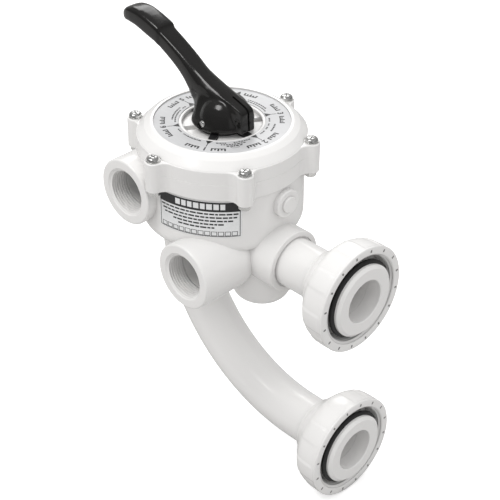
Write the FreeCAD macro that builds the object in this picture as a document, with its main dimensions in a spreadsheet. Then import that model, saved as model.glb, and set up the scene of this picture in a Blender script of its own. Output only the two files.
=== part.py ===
import FreeCAD, Part
import math
import os
import re

import Sketcher
from FreeCAD import Vector, Placement, Rotation

# Side-mount multiport valve.  Millimetres, +Z up.
# It is drawn with the vertical spindle axis on Z and the axis of the upper union on X.
# Both unions face +X; ports a and b open to the front (-Y), port c to the back (+Y).
# Each finished piece is then moved along -X by union_face, so that the final origin lies
# on the upper union's axis in the plane of its nut's rim.

os.makedirs("parts", exist_ok=True)
doc = FreeCAD.newDocument("multiport_valve")

# ---------------------------------------------------------------- driving dimensions
# _rad, _bore, _hole and _circle are radii; _low, _high, _top and _z are heights;
# _face is the distance of an end face from the spindle axis.
DIM = dict(
    # unions and pipes
    union_pitch=190.5, union_face=194.0, pipe_rad=26.0, pipe_bore=22.9, pipe_end=181.0,
    tube_bend=177.8, chamber_off=58.5, socket_clear=0.05, outlet_stop=80.0, tube_stop=6.0,
    # barrel of the body
    barrel_rad=84.0, barrel_low=11.0, seam_z=95.5, cavity_rad=78.0, seat_z=28.0,
    flange_rad=86.5, flange_low=77.5, barrel_round=12.0,
    seat_port_rad=19.5, seat_port_circle=53.0,
    # bolt bosses, washers
    bolt_circle=92.0, boss_rad=8.6, boss_blend=11.0, bolt_hole=3.4,
    washer_rad=7.2, washer_thick=1.2,
    # threaded ports
    port_off=42.0, port_face=95.0, port_rad=35.2, thread_rad=24.2, thread_len=21.0,
    port_bore=21.5, port_hi=57.0, port_lo=-4.0,
    # outlet chamber, collar, tube socket
    collar_rad=33.3, collar_face=104.0, chamber_rad=30.5, chamber_low=-60.5,
    socket_low=-15.0, socket_rad=31.0, passage_bore=22.5,
    # gauge boss
    gauge_y=4.5, gauge_z=59.5, gauge_rad=15.0, gauge_face=90.0, gauge_hole=6.6,
    # lid
    lid_rad=86.2, lid_edge=110.0, lid_well=115.5, slot_floor=111.0, slot_start=26.0,
    lid_core=113.0, well_rad=40.5, dial_floor=119.0, dial_out=69.2, bead_top=121.4,
    spigot_rad=77.7, spigot_low=87.0, stem_hole=10.08,
    # dial, cam plate, handle
    dial_rad=68.9, dial_in=43.8, dial_top=120.0, plate_rad=27.5, plate_top=120.0,
    tab_rad=42.0, tab_wide=8.0, hub_rad=31.0, hub_base=120.05, pin_z=125.0, pin_rad=3.96,
    pin_half=25.0, lever_half=12.0,
    # rotor group
    rotor_rad=72.0, rotor_low=31.05, rotor_top=50.0, stem_rad=10.0, stem_top=133.0,
    spring_low=53.6, spring_high=97.9, spring_mean=18.0, spring_wire=1.9,
    spring_washer_rad=22.0,
    # union nut and tailpiece
    nut_rad=56.8, nut_back=143.0, nut_hole=26.6, nut_thread=47.1, nut_seat=166.0,
    tail_flange_rad=45.0, nose_rad=38.4, nose_face=199.0,
    # label
    label_low=35.0, label_high=75.6, label_turn=60.0, label_from=-90.6, label_thick=0.35,
)
sheet = doc.addObject("Spreadsheet::Sheet", "Sheet")
for row, (alias, size) in enumerate(DIM.items(), 1):
    sheet.set("A%d" % row, alias)
    sheet.set("B%d" % row, repr(size))
    sheet.setAlias("B%d" % row, alias)
doc.recompute()

UP = Vector(0, 0, 1)
TO_X = Rotation(Vector(0, 1, 0), 90)        # local Z -> +X
TO_FRONT = Rotation(Vector(1, 0, 0), 90)    # local Z -> -Y
TO_BACK = Rotation(Vector(1, 0, 0), -90)    # local Z -> +Y


# ---------------------------------------------------------------- sizes and placing
# A size is a plain number, or a text sum such as "seam_z-4" or "0.5*pin_half"
# that follows the sheet.
def num(size):
    """Present value of a size."""
    if isinstance(size, (int, float)):
        return float(size)
    total = 0.0
    for sign, term in re.findall(r"([+-]?)\s*([A-Za-z0-9_.*]+)", size):
        value = 1.0
        for factor in term.split("*"):
            value *= DIM[factor] if factor in DIM else float(factor)
        total += -value if sign == "-" else value
    return total


def formula(size):
    return re.sub(r"([A-Za-z_][A-Za-z0-9_]*)", r"Sheet.\1", size)


def bind(obj, prop, size):
    if isinstance(size, str):
        obj.setExpression(prop, formula(size))
    else:
        setattr(obj, prop, size)


def place(obj, x=0, y=0, z=0, rot=None):
    obj.Placement = Placement(Vector(num(x), num(y), num(z)), rot or Rotation())
    for axis, size in (("x", x), ("y", y), ("z", z)):
        if isinstance(size, str):
            obj.setExpression("Placement.Base." + axis, formula(size))
    return obj


# ---------------------------------------------------------------- solids
def cyl(name, radius, length, x=0, y=0, z=0, rot=None, angle=None):
    o = doc.addObject("Part::Cylinder", name)
    bind(o, "Radius", radius)
    bind(o, "Height", length)
    if angle is not None:
        bind(o, "Angle", angle)
    return place(o, x, y, z, rot)


def block(name, length, width, height, x, y, z, rot=None):
    o = doc.addObject("Part::Box", name)
    bind(o, "Length", length)
    bind(o, "Width", width)
    bind(o, "Height", height)
    return place(o, x, y, z, rot)


def radial_bar(name, start, length, width, height, azimuth, z):
    """Block running outward from radius start, centred on its azimuth."""
    rot = Rotation(UP, azimuth)
    corner = rot.multVec(Vector(num(start), -num(width) / 2, 0))
    return block(name, length, width, height, corner.x, corner.y, z, rot)


def ball(name, radius, x, y, z):
    o = doc.addObject("Part::Sphere", name)
    bind(o, "Radius", radius)
    return place(o, x, y, z)


def torus(name, ring_rad, wire_rad, x=0, z=0, rot=None):
    o = doc.addObject("Part::Torus", name)
    bind(o, "Radius1", ring_rad)
    o.Radius2 = wire_rad
    return place(o, x, 0, z, rot)


def fuse(name, shapes):
    o = doc.addObject("Part::MultiFuse", name)
    o.Shapes = shapes
    o.Refine = True
    return o


def cut(name, base, tool):
    o = doc.addObject("Part::Cut", name)
    o.Base = base
    o.Tool = tool
    o.Refine = True
    return o


def feature(name, shape):
    """Document object that holds a shape worked out in Python."""
    o = doc.addObject("Part::Feature", name)
    o.Shape = shape
    o.Placement = Placement()
    return o


def prism(points, direction):
    return Part.Face(Part.makePolygon(points + [points[0]])).extrude(direction)


def polar(radius, azimuth, z=0.0):
    a = math.radians(azimuth)
    return Vector(radius * math.cos(a), radius * math.sin(a), z)


def arc(start, middle, end):
    return Part.Arc(start, middle, end).toShape()


# ---------------------------------------------------------------- sketched bodies
def plane_of(body, role):
    return [f for f in body.Origin.OriginFeatures if f.Role == role][0]


def sketch_on(body, name, role):
    sketch = body.newObject("Sketcher::SketchObject", name)
    sketch.AttachmentSupport = [(plane_of(body, role), "")]
    sketch.MapMode = "FlatFace"
    return sketch


def dimension(sketch, size, kind, *where):
    index = sketch.addConstraint(Sketcher.Constraint(kind, *where, num(size)))
    if isinstance(size, str):
        sketch.setExpression("Constraints[%d]" % index, formula(size))


def outline_sketch(body, name, points):
    """Closed outline whose every corner is dimensioned from the sketch origin."""
    sketch = sketch_on(body, name, "XZ_Plane")
    count = len(points)
    corners = [Vector(num(a), num(b), 0) for a, b in points]
    for i in range(count):
        sketch.addGeometry(Part.LineSegment(corners[i], corners[(i + 1) % count]), False)
    for i in range(count):
        sketch.addConstraint(Sketcher.Constraint("Coincident", i, 2, (i + 1) % count, 1))
    for i, (across, along) in enumerate(points):
        dimension(sketch, across, "DistanceX", -1, 1, i, 1)
        dimension(sketch, along, "DistanceY", -1, 1, i, 1)
    return sketch


def turned(name, points, x=0, y=0, z=0, rot=None):
    """Solid of revolution: points are (radius, height) about the body's own Z."""
    body = doc.addObject("PartDesign::Body", name)
    sketch = outline_sketch(body, name + "_outline", points)
    doc.recompute()
    turn = body.newObject("PartDesign::Revolution", name + "_turn")
    turn.Profile = sketch
    turn.ReferenceAxis = (sketch, ["V_Axis"])
    turn.Angle = 360.0
    turn.Reversed = False
    doc.recompute()
    body.Tip = turn
    place(body, x, y, z, rot)
    doc.recompute()
    return body


def plain_ring(name, inner, outer, low, high):
    return turned(name, [(inner, low), (outer, low), (outer, high), (inner, high)])


# ---------------------------------------------------------------- fillets
def round_ring(body, name, fillet_rad, radius, height, tol=0.05):
    """Fillets the circle of this radius and height about a turned body's own axis."""
    def is_ring(edge):
        c = edge.Curve
        return (c.TypeId == "Part::GeomCircle" and abs(c.Radius - num(radius)) < tol
                and abs(c.Center.z - num(height)) < tol
                and math.hypot(c.Center.x, c.Center.y) < tol)

    tip = body.Tip
    names = ["Edge%d" % i for i, e in enumerate(tip.Shape.Edges, 1) if is_ring(e)]
    if not names:
        raise RuntimeError("no edge for " + name)
    fillet = body.newObject("PartDesign::Fillet", name)
    fillet.Base = (tip, names)
    fillet.Radius = fillet_rad
    doc.recompute()
    if not fillet.isValid() or fillet.Shape.isNull():
        raise RuntimeError("fillet failed: " + name)
    body.Tip = fillet


def round_edges(name, base, radius, test):
    doc.recompute()
    edges = [(i, radius, radius) for i, e in enumerate(base.Shape.Edges, 1) if test(e)]
    if not edges:
        raise RuntimeError("no edge for " + name)
    o = doc.addObject("Part::Fillet", name)
    o.Base = base
    o.Edges = edges
    doc.recompute()
    return o


def round_end(name, base, radius, axis, level):
    """Fillets the circle whose centre lies at this level along this axis."""
    return round_edges(name, base, radius,
                       lambda e: e.Curve.TypeId == "Part::GeomCircle"
                       and abs(getattr(e.Curve.Center, axis) - level) < 0.01)


# ---------------------------------------------------------------- bolt pattern
BOLT_AZIMUTHS = [30.0 + 60.0 * i for i in range(6)]


def lobed_face(disc_rad, z):
    """Flat outline: a disc with six bolt lobes, each blended into the disc by an arc."""
    circle, lobe_rad, blend = DIM["bolt_circle"], DIM["boss_rad"], DIM["boss_blend"]
    # azimuth between a lobe and the centres of its two blends, by the cosine rule
    reach = disc_rad + blend
    spread = math.degrees(math.acos(
        (reach ** 2 + circle ** 2 - (lobe_rad + blend) ** 2) / (2 * reach * circle)))
    edges = []
    for azimuth in BOLT_AZIMUTHS:
        lobe = polar(circle, azimuth, z)
        blends = []
        for turn in (-spread, spread):
            centre = polar(reach, azimuth + turn, z)
            on_disc = polar(disc_rad, azimuth + turn, z)
            on_lobe = lobe + (centre - lobe).normalize() * lobe_rad
            toward = ((on_disc - centre) + (on_lobe - centre)).normalize()
            blends.append((on_disc, centre + toward * blend, on_lobe))
        before, after = blends
        edges.append(arc(*before))
        edges.append(arc(before[2], polar(circle + lobe_rad, azimuth, z), after[2]))
        edges.append(arc(*reversed(after)))
        edges.append(arc(after[0], polar(disc_rad, azimuth + 30, z),
                         polar(disc_rad, azimuth + 60 - spread, z)))
    return Part.Face(Part.Wire(edges))


def lobed(name, radius, low, height):
    o = doc.addObject("Part::Extrusion", name)
    o.Base = feature(name + "_outline", lobed_face(num(radius), num(low)))
    o.DirMode = "Custom"
    o.Dir = UP
    bind(o, "LengthFwd", height)
    o.Solid = True
    return o


def bolt_cylinders(name, radius, length, z):
    cylinders = []
    for i, azimuth in enumerate(BOLT_AZIMUTHS, 1):
        a = math.radians(azimuth)
        cylinders.append(cyl("%s_%d" % (name, i), radius, length,
                             "%.12f*bolt_circle" % math.cos(a),
                             "%.12f*bolt_circle" % math.sin(a), z))
    return cylinders


# ---------------------------------------------------------------- valve body
# threaded ports: letter, x, z, side (-1 front, +1 back), and the distances from the
# spindle plane y = 0 at which the outer cylinder and the bore start
PORTS = [
    ("a", "-port_off", "port_hi", -1, 20.0, 38.0),
    ("b", "port_off", "port_lo", -1, 40.0, 40.0),
    ("c", "-port_off", "port_lo", 1, 40.0, 40.0),
]
FACING = {-1: TO_FRONT, 1: TO_BACK}

# round ports through the seat: name, azimuth, height of the floor
SEAT_PORTS = [
    ("upper", 0, 2.0), ("return", -60, -14.0), ("waste", 120, -14.0), ("lower", 180, 2.0),
    ("blind1", 60, 22.0), ("blind2", -120, 22.0),
]


def below_port_face(side, depth):
    """y of the place at this depth inside a port's face."""
    return ("-port_face+%s" if side < 0 else "port_face-%s") % depth


def body_outside():
    barrel = round_end("barrel_rounded",
                       cyl("barrel", "barrel_rad", "seam_z-barrel_low", z="barrel_low"),
                       DIM["barrel_round"], "z", DIM["barrel_low"])
    flange = round_edges("flange_rounded",
                         lobed("body_flange", "flange_rad", "flange_low", "seam_z-flange_low"),
                         1.2, lambda e: abs(e.BoundBox.ZMax - DIM["flange_low"]) < 0.01)
    ports = []
    for letter, x, z, side, start, _ in PORTS:
        name = "port_" + letter
        port = cyl(name, "port_rad", "port_face-%g" % start, x, side * start, z, FACING[side])
        ports.append(round_end(name + "_rounded", port, 2.0, "y", side * DIM["port_face"]))
    # the two low ports end in a ball inside the body
    for letter, x, z, side, start, _ in PORTS[1:]:
        ports.append(ball("port_%s_end" % letter, "port_rad", x, side * start, z))
    collar = round_end("collar_rounded",
                       cyl("collar", "collar_rad", "collar_face-chamber_off",
                           "chamber_off", rot=TO_X),
                       1.2, "x", DIM["collar_face"])
    collar_end = ball("collar_end", "collar_rad", "chamber_off", 0, 0)
    chamber = round_end("chamber_rounded",
                        cyl("chamber", "chamber_rad", "20-chamber_low",
                            "chamber_off", z="chamber_low"),
                        13.0, "z", DIM["chamber_low"])
    socket = round_end("socket_rounded",
                       cyl("tube_socket", "socket_rad", "20-socket_low",
                           "-chamber_off", z="socket_low"),
                       1.2, "z", DIM["socket_low"])
    gauge_boss = round_end("gauge_boss_rounded",
                           cyl("gauge_boss", "gauge_rad", "gauge_face-70",
                               70.0, "gauge_y", "gauge_z", TO_X),
                           1.5, "x", DIM["gauge_face"])
    return fuse("body_outer", [barrel, flange] + ports
                + [collar, collar_end, chamber, socket, gauge_boss])


def body_inside():
    inner = [cyl("cavity", "cavity_rad", "seam_z-seat_z+1", z="seat_z")]
    inner += bolt_cylinders("flange_hole", "bolt_hole", "seam_z-flange_low+2", "flange_low-1")
    for name, azimuth, floor in SEAT_PORTS:
        centre = polar(DIM["seat_port_circle"], azimuth)
        inner.append(cyl("seat_port_" + name, "seat_port_rad", "seat_z%+g" % (1 - floor),
                         centre.x, centre.y, floor))
    for letter, x, z, side, _, bore_start in PORTS:
        inner.append(cyl("thread_" + letter, "thread_rad", "thread_len+1",
                         x, below_port_face(side, "thread_len"), z, FACING[side]))
        inner.append(cyl("bore_" + letter, "port_bore", 40.0,
                         x, side * bore_start, z, FACING[side]))
    for letter, x, z, side, _, _ in PORTS:
        cone = doc.addObject("Part::Cone", "lead_in_" + letter)
        bind(cone, "Radius1", "thread_rad")
        bind(cone, "Radius2", "thread_rad+2")
        cone.Height = 2.0
        inner.append(place(cone, x, below_port_face(side, 1.6), z, FACING[side]))
    # outlet passage and its pipe socket, chamber, tube socket, gauge hole
    inner += [
        cyl("outlet_bore", "pipe_bore", 40.0, 42.0, rot=TO_X),
        cyl("outlet_socket", "pipe_rad+socket_clear", "collar_face-outlet_stop+1",
            "outlet_stop", rot=TO_X),
        cyl("outlet_recess", 27.8, 3.0, "collar_face-1.6", rot=TO_X),
        cyl("chamber_bore", "passage_bore", "18-chamber_low-7",
            "chamber_off", z="chamber_low+7"),
        cyl("tube_socket_bore", "pipe_rad+socket_clear", "tube_stop-socket_low+1",
            "-chamber_off", z="socket_low-1"),
        cyl("tube_bore", "passage_bore", 13.0, "-chamber_off", z="tube_stop-1"),
        cyl("tube_clearance", 28.6, 60.0, "-chamber_off+1", z="socket_low-60.3"),
        cyl("gauge_bore", "gauge_hole", 30.0, "gauge_face-29", "gauge_y", "gauge_z", TO_X),
    ]
    return fuse("body_inner", inner)


def valve_body():
    return cut("valve_body_cut", body_outside(), body_inside())


# ---------------------------------------------------------------- lid and its O-ring
# (radius, height): from the stem hole out over the top, down the spigot and back inside
LID_PROFILE = [
    ("stem_hole", "lid_well"), ("well_rad", "lid_well"), ("well_rad", "dial_floor"),
    ("dial_out", "dial_floor"), ("dial_out", "bead_top"), ("dial_out+2.6", "bead_top"),
    ("dial_out+4.5", "bead_top-0.9"), ("dial_out+9", "bead_top-3.6"),
    ("lid_rad-3.4", "lid_edge+3.0"), ("lid_rad-1.2", "lid_edge+0.6"),
    ("lid_rad-0.6", "lid_edge-0.6"), ("lid_rad-0.6", "lid_edge-1"), ("lid_rad-0.6", "seam_z"),
    ("spigot_rad", "seam_z"), ("spigot_rad", "spigot_low+6.6"),
    ("spigot_rad-2.85", "spigot_low+6.6"), ("spigot_rad-2.85", "spigot_low+3.4"),
    ("spigot_rad", "spigot_low+3.4"), ("spigot_rad", "spigot_low"),
    ("spigot_rad-6", "spigot_low"), ("spigot_rad-6", "dial_floor-15"),
    ("spigot_rad-14", "dial_floor-7"), ("well_rad+8", "dial_floor-7"),
    ("well_rad+6", "lid_core-8"), (28.0, "lid_core-8"), (28.0, "lid_core-13.4"),
    ("stem_hole", "lid_core-13.4"),
]


def lid():
    slab = round_edges("lid_rounded",
                       lobed("lid_flange", "lid_rad", "seam_z", "lid_edge-seam_z"),
                       1.2, lambda e: abs(e.BoundBox.ZMin - DIM["lid_edge"]) < 0.01)
    centre = turned("lid_turned", LID_PROFILE)
    middle = cyl("lid_middle", "spigot_rad-6", 20.0, z="seam_z-1")
    whole = fuse("lid_whole", [cut("lid_slab_open", slab, middle), centre])
    cutters = bolt_cylinders("lid_hole", "bolt_hole", "lid_edge-seam_z+2", "seam_z-1")
    cutters += bolt_cylinders("lid_spot", 8.0, 12.0, "lid_edge")
    # six detent slots round the well
    cutters += [radial_bar("slot_%d" % (i + 1), "slot_start", "tab_rad+0.3-slot_start",
                           "tab_wide+0.5", "dial_floor-slot_floor", 60.0 * i, "slot_floor")
                for i in range(6)]
    return cut("lid_cut", whole, fuse("lid_cutters", cutters))


def lid_o_ring():
    return torus("lid_o_ring_torus", "spigot_rad-1.37", 1.45, z="spigot_low+5")


# ---------------------------------------------------------------- screws, washers, nuts
# (radius, height) above the underside of the head
SCREW_PROFILE = [
    (0.0, -37.9), (2.2, -37.9), (3.0, -37.1), (3.0, 0.0), (6.2, 0.0), (6.4, 0.8), (6.2, 2.3),
    (5.2, 3.2), (3.5, 3.7), (0.0, 3.9),
]
RECESS_LONG, RECESS_WIDE = 7.0, 1.3
NUT_HIGH, NUT_HALF_FLATS, NUT_BORE = 5.4, 5.5, 3.05
# cones and cylinder that trim the corners of the nut
NUT_TRIM_RAD, NUT_CHAMFER = 7.2, 1.7


def lid_washers():
    holes = bolt_cylinders("washer_hole", "bolt_hole", 3.0, "lid_edge-1")
    discs = bolt_cylinders("washer_disc", "washer_rad", "washer_thick", "lid_edge")
    return cut("lid_washers_cut", fuse("washer_discs", discs), fuse("washer_holes", holes))


def lid_screws():
    screw = turned("screw_turned", SCREW_PROFILE)
    cross = fuse("screw_recess", [
        block("recess_1", RECESS_LONG, RECESS_WIDE, 3.0, -RECESS_LONG / 2, -RECESS_WIDE / 2, 2.2),
        block("recess_2", RECESS_WIDE, RECESS_LONG, 3.0, -RECESS_WIDE / 2, -RECESS_LONG / 2, 2.2)])
    one_screw = cut("screw_one", screw, cross)
    doc.recompute()
    screws = []
    for i, azimuth in enumerate(BOLT_AZIMUTHS):
        copy = one_screw.Shape.copy()
        seat = polar(DIM["bolt_circle"], azimuth, num("lid_edge+washer_thick"))
        turn = Rotation(UP, 17.0 * i + 20.0)
        copy.Placement = Placement(seat, turn).multiply(copy.Placement)
        screws.append(copy)
    return feature("screw_set", Part.makeCompound(screws))


def nut_at(azimuth):
    """Hexagon nut under the flange with both ends chamfered."""
    base = polar(DIM["bolt_circle"], azimuth, DIM["flange_low"] - NUT_HIGH)
    corner_rad = NUT_HALF_FLATS / math.cos(math.pi / 6)
    corners = [base + polar(corner_rad, 60 * i + azimuth + 30) for i in range(6)]
    hexagon = prism(corners, Vector(0, 0, NUT_HIGH))
    hexagon = hexagon.cut(Part.makeCylinder(NUT_BORE, 8, base - Vector(0, 0, 0.6)))
    low_cone = Part.makeCone(NUT_HALF_FLATS, NUT_TRIM_RAD, NUT_CHAMFER, base)
    middle = Part.makeCylinder(NUT_TRIM_RAD, NUT_HIGH - 2 * NUT_CHAMFER + 0.2,
                               base + Vector(0, 0, NUT_CHAMFER))
    high_cone = Part.makeCone(NUT_TRIM_RAD, NUT_HALF_FLATS, NUT_CHAMFER,
                              base + Vector(0, 0, NUT_HIGH - NUT_CHAMFER))
    return hexagon.common(low_cone.fuse(middle).fuse(high_cone).removeSplitter())


def lid_nuts():
    return feature("nut_set", Part.makeCompound([nut_at(az) for az in BOLT_AZIMUTHS]))


# ---------------------------------------------------------------- dial, cam plate, washer
def dial_plate():
    return plain_ring("dial_turned", "dial_in", "dial_rad", "dial_floor", "dial_top")


def cam_plate():
    plate = turned("plate_turned", [
        (11.5, "lid_well"), ("plate_rad", "lid_well"), ("plate_rad", "plate_top"),
        (24.3, "plate_top"), (24.3, "plate_top-1.2"), (11.5, "plate_top-1.2")])
    # four tabs drop into four of the six slots and stop the plate turning
    tabs = [radial_bar("tab_%d" % azimuth, "slot_start+0.3", "tab_rad-slot_start-0.3",
                       "tab_wide", "dial_floor-slot_floor-0.3", azimuth, "slot_floor+0.15")
            for azimuth in (0.0, 120.0, 180.0, 300.0)]
    return fuse("cam_plate_fuse", [plate] + tabs)


def handle_washer():
    return plain_ring("handle_washer_turned", 11.5, 24.0, "plate_top-1.15", "plate_top")


# ---------------------------------------------------------------- handle and its pin
# (radius, height) of the round hub
HUB_PROFILE = [
    (0.0, "hub_base"), ("hub_rad-1", "hub_base"), ("hub_rad", "hub_base+1.2"),
    ("hub_rad", "hub_base+18"), ("hub_rad-2.5", "hub_base+24"),
    ("hub_rad-10", "hub_base+29.5"), ("hub_rad-20", "hub_base+31.5"), (0.0, "hub_base+32"),
]
# (x, z) of the lever seen from the side: along the top to the tip and back underneath
LEVER_SIDE = [
    (22, 132), (20, 149), (5, 154.8), (-19, 162.5), (-48, 177.5), (-78, 192), (-79.5, 196),
    (-84, 197.3), (-115, 204), (-127, 204.2), (-137, 200.5), (-143.5, 193.5),
    (-143.8, 188.8), (-139, 187.0), (-128, 189.5), (-115.6, 187.6), (-100.4, 183.0),
    (-88.2, 180.6), (-77.8, 175.8), (-63.1, 167.0), (-48.5, 155.6), (-38.5, 142.6),
    (-33.4, 131.5), (-20, 128),
]
# (x, half width) of the lever from above: narrow neck, wider grip, round end
LEVER_PLAN = [
    (30, 12), (-10, 12), (-40, 10.6), (-74, 10.6), (-80, 12), (-128, 12), (-138, 9.5),
    (-144, 5), (-145, 0),
]
# the cam's support height grows by CAM_RISE over CAM_TURN degrees
CAM_RISE, CAM_TURN, CAM_STEPS = 6.0, 28.0, 8


def lever_shape():
    half = DIM["lever_half"]
    side = prism([Vector(x, -half, z) for x, z in LEVER_SIDE], Vector(0, 2 * half, 0))
    outline = [Vector(x, y, 100) for x, y in LEVER_PLAN]
    outline += [Vector(x, -y, 100) for x, y in reversed(LEVER_PLAN[:-1])]
    return side.common(prism(outline, Vector(0, 0, 130)))


def cam_relief_shape():
    """Everything of the hub below the cam curve on the lever's side."""
    turn = math.radians(CAM_TURN)
    rate = CAM_RISE / turn
    points = []    # (x, z) from the pin's axis
    for i in range(CAM_STEPS + 1):
        a = turn * i / CAM_STEPS
        height = DIM["pin_z"] - DIM["hub_base"] + rate * a
        points.append((-height * math.sin(a) - rate * math.cos(a),
                       -height * math.cos(a) + rate * math.sin(a)))
    # run on past the curve's end, then close well below the hub
    x, z = points[-1]
    outer_x = x - 30 * math.cos(turn)
    points += [(outer_x, z + 30 * math.sin(turn)), (outer_x, -30.0), (points[0][0], -30.0)]
    return prism([Vector(x, -60, DIM["pin_z"] + z) for x, z in points], Vector(0, 120, 0))


def handle():
    hub = turned("hub_turned", HUB_PROFILE)
    blank = fuse("handle_blank", [hub, feature("lever_blank", lever_shape())])
    tools = [
        block("stem_slot", 31.0, "2*stem_rad+0.6", 20.2, -15.5, "-stem_rad-0.3", "hub_base-1"),
        cyl("handle_pin_hole", "pin_rad+0.04", 80.0, 0, 40.0, "pin_z", TO_FRONT),
        feature("cam_relief", cam_relief_shape()),
    ]
    return cut("handle_cut", blank, fuse("handle_tools", tools))


def handle_pin():
    return turned("handle_pin_turned", [
        (0.0, "-pin_half"), ("pin_rad-0.5", "-pin_half"), ("pin_rad", "-pin_half+0.5"),
        ("pin_rad", "pin_half-0.5"), ("pin_rad-0.5", "pin_half"), (0.0, "pin_half")],
        0, 0, "pin_z", TO_FRONT)


# ---------------------------------------------------------------- rotor and gasket
# (radius, height): disc, then the stem with its two O-ring grooves
ROTOR_PROFILE = [
    (0.0, "rotor_low"), ("rotor_rad", "rotor_low"), ("rotor_rad", "rotor_low+9"),
    ("rotor_rad-3", "rotor_low+12"), (30.0, "rotor_top"), (24.0, "rotor_top+2.4"),
    ("stem_rad", "rotor_top+2.4"),
    ("stem_rad", "lid_core-10"), ("stem_rad-1.9", "lid_core-10"),
    ("stem_rad-1.9", "lid_core-7.4"), ("stem_rad", "lid_core-7.4"),
    ("stem_rad", "lid_core-5"), ("stem_rad-1.9", "lid_core-5"),
    ("stem_rad-1.9", "lid_core-2.4"), ("stem_rad", "lid_core-2.4"),
    ("stem_rad", "stem_top-1.5"), ("stem_rad-1.5", "stem_top"), (0.0, "stem_top"),
]


def sector(inner, outer, start, end, low, high):
    """Ring sector between two radii, two azimuths and two heights."""
    middle = (start + end) / 2
    low, high = num(low), num(high)
    inner_start, inner_mid, inner_end = [polar(inner, a, low) for a in (start, middle, end)]
    outer_start, outer_mid, outer_end = [polar(outer, a, low) for a in (start, middle, end)]
    wire = Part.Wire([arc(inner_start, inner_mid, inner_end),
                      Part.LineSegment(inner_end, outer_end).toShape(),
                      arc(outer_end, outer_mid, outer_start),
                      Part.LineSegment(outer_start, inner_start).toShape()])
    return Part.Face(wire).extrude(Vector(0, 0, high - low))


def rotor():
    disc_and_stem = turned("rotor_turned", ROTOR_PROFILE)
    # one open window through the disc, and one closed pocket that bridges two seat ports
    window = sector(26, 67, 158, 202, "rotor_low-1", "rotor_top+6")
    pocket = sector(24, 66, -74, 14, "rotor_low-1", "rotor_low+9")
    windows = feature("rotor_windows", window.fuse(pocket))
    pin_hole = cyl("stem_pin_hole", "pin_rad", 30.0, 0, 15.0, "pin_z", TO_FRONT)
    return cut("rotor_cut", disc_and_stem, fuse("rotor_tools", [windows, pin_hole]))


def spider_gasket():
    top = "rotor_low-0.05"
    rim = plain_ring("gasket_rim", 70.0, 77.6, "seat_z", top)
    hub = plain_ring("gasket_hub", 14.0, 22.0, "seat_z", top)
    spokes = [radial_bar("gasket_spoke_%d" % (i + 1), 20.0, 52.0, 5.0, top + "-seat_z",
                         30.0 + 60.0 * i, "seat_z") for i in range(6)]
    return fuse("spider_gasket_fuse", [rim, hub] + spokes)


# ---------------------------------------------------------------- spring, washers, stem rings
SPRING_TURNS = 6.0
SPRING_CLOSED = 0.9     # turns wound close at each end
SPRING_STEPS = 24       # path points in a turn


def spring_shape():
    """Round wire swept along a coil with its ends wound close."""
    mean, wire = DIM["spring_mean"], DIM["spring_wire"]
    low = DIM["spring_low"] + 0.02 + wire
    high = DIM["spring_high"] - 0.02 - wire
    close_pitch = 2 * wire * 1.02
    closed_height = SPRING_CLOSED * close_pitch
    open_pitch = (high - low - 2 * closed_height) / (SPRING_TURNS - 2 * SPRING_CLOSED)
    steps = int(SPRING_TURNS * SPRING_STEPS)
    points = []
    for i in range(steps + 1):
        turn = SPRING_TURNS * i / steps
        if turn < SPRING_CLOSED:
            z = low + turn * close_pitch
        elif turn > SPRING_TURNS - SPRING_CLOSED:
            z = high - (SPRING_TURNS - turn) * close_pitch
        else:
            z = low + closed_height + (turn - SPRING_CLOSED) * open_pitch
        points.append(polar(mean, 360 * turn, z))
    path = Part.BSplineCurve()
    path.interpolate(points)
    tangent = path.tangent(path.FirstParameter)[0]
    profile = Part.Wire([Part.Circle(points[0], tangent, wire).toShape()])
    return Part.Wire([path.toShape()]).makePipeShell([profile], True, True)


def spring_washer(name, low, high):
    return plain_ring(name, "stem_rad+0.2", "spring_washer_rad", low, high)


def stem_o_rings():
    pair = doc.addObject("Part::Compound", "stem_o_ring_pair")
    pair.Links = [torus("stem_o_ring_%d" % i, "stem_rad-0.93", 0.95, z=z)
                  for i, z in ((1, "lid_core-8.7"), (2, "lid_core-3.7"))]
    return pair


# ---------------------------------------------------------------- gauge plug
# (radius, distance outward from the boss face)
PLUG_PROFILE = [
    (0.0, -14.0), ("gauge_hole-0.6", -14.0), ("gauge_hole-0.05", -13.0),
    ("gauge_hole-0.05", 0.0), (8.4, 0.0), (8.7, 0.3), (8.7, 1.9), (7.9, 2.7), (0.0, 2.7),
]


def gauge_plug():
    return turned("plug_turned", PLUG_PROFILE, "gauge_face+0.02", "gauge_y", "gauge_z", TO_X)


# ---------------------------------------------------------------- unions
# (radius, distance along +X from the spindle axis)
TAIL_PROFILE = [
    ("pipe_rad+0.05", "nut_seat+4"), (36.0, "nut_seat+1"),
    ("tail_flange_rad-1", "nut_seat+0.4"), ("tail_flange_rad", "nut_seat+1.4"),
    ("tail_flange_rad", "nut_seat+9"), ("nose_rad", "nut_seat+9"),
    ("nose_rad", "nose_face-11.2"), ("nose_rad-2.4", "nose_face-11.2"),
    ("nose_rad-2.4", "nose_face-5.2"), ("nose_rad", "nose_face-5.2"),
    ("nose_rad", "nose_face-2.6"), ("nose_rad-3.2", "nose_face"),
    ("pipe_bore+0.8", "nose_face"), ("pipe_bore", "nose_face-0.8"),
    ("pipe_bore", "pipe_end+0.2"), ("pipe_rad+0.05", "pipe_end+0.2"),
]
NUT_PROFILE = [
    ("nut_hole", "nut_back"), (29.5, "nut_back"), (36.5, "nut_back+7"),
    (45.0, "nut_back+14.5"), (51.5, "nut_back+20.5"), (55.2, "nut_back+26"),
    ("nut_rad", "nut_back+34"), ("nut_rad", "union_face-0.8"), ("nut_rad-0.8", "union_face"),
    ("nut_thread+1.2", "union_face"), ("nut_thread", "union_face-1.5"),
    ("nut_thread", "nut_seat"), ("nut_hole+6", "nut_seat"), ("nut_hole", "nut_seat-4"),
]


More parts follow.
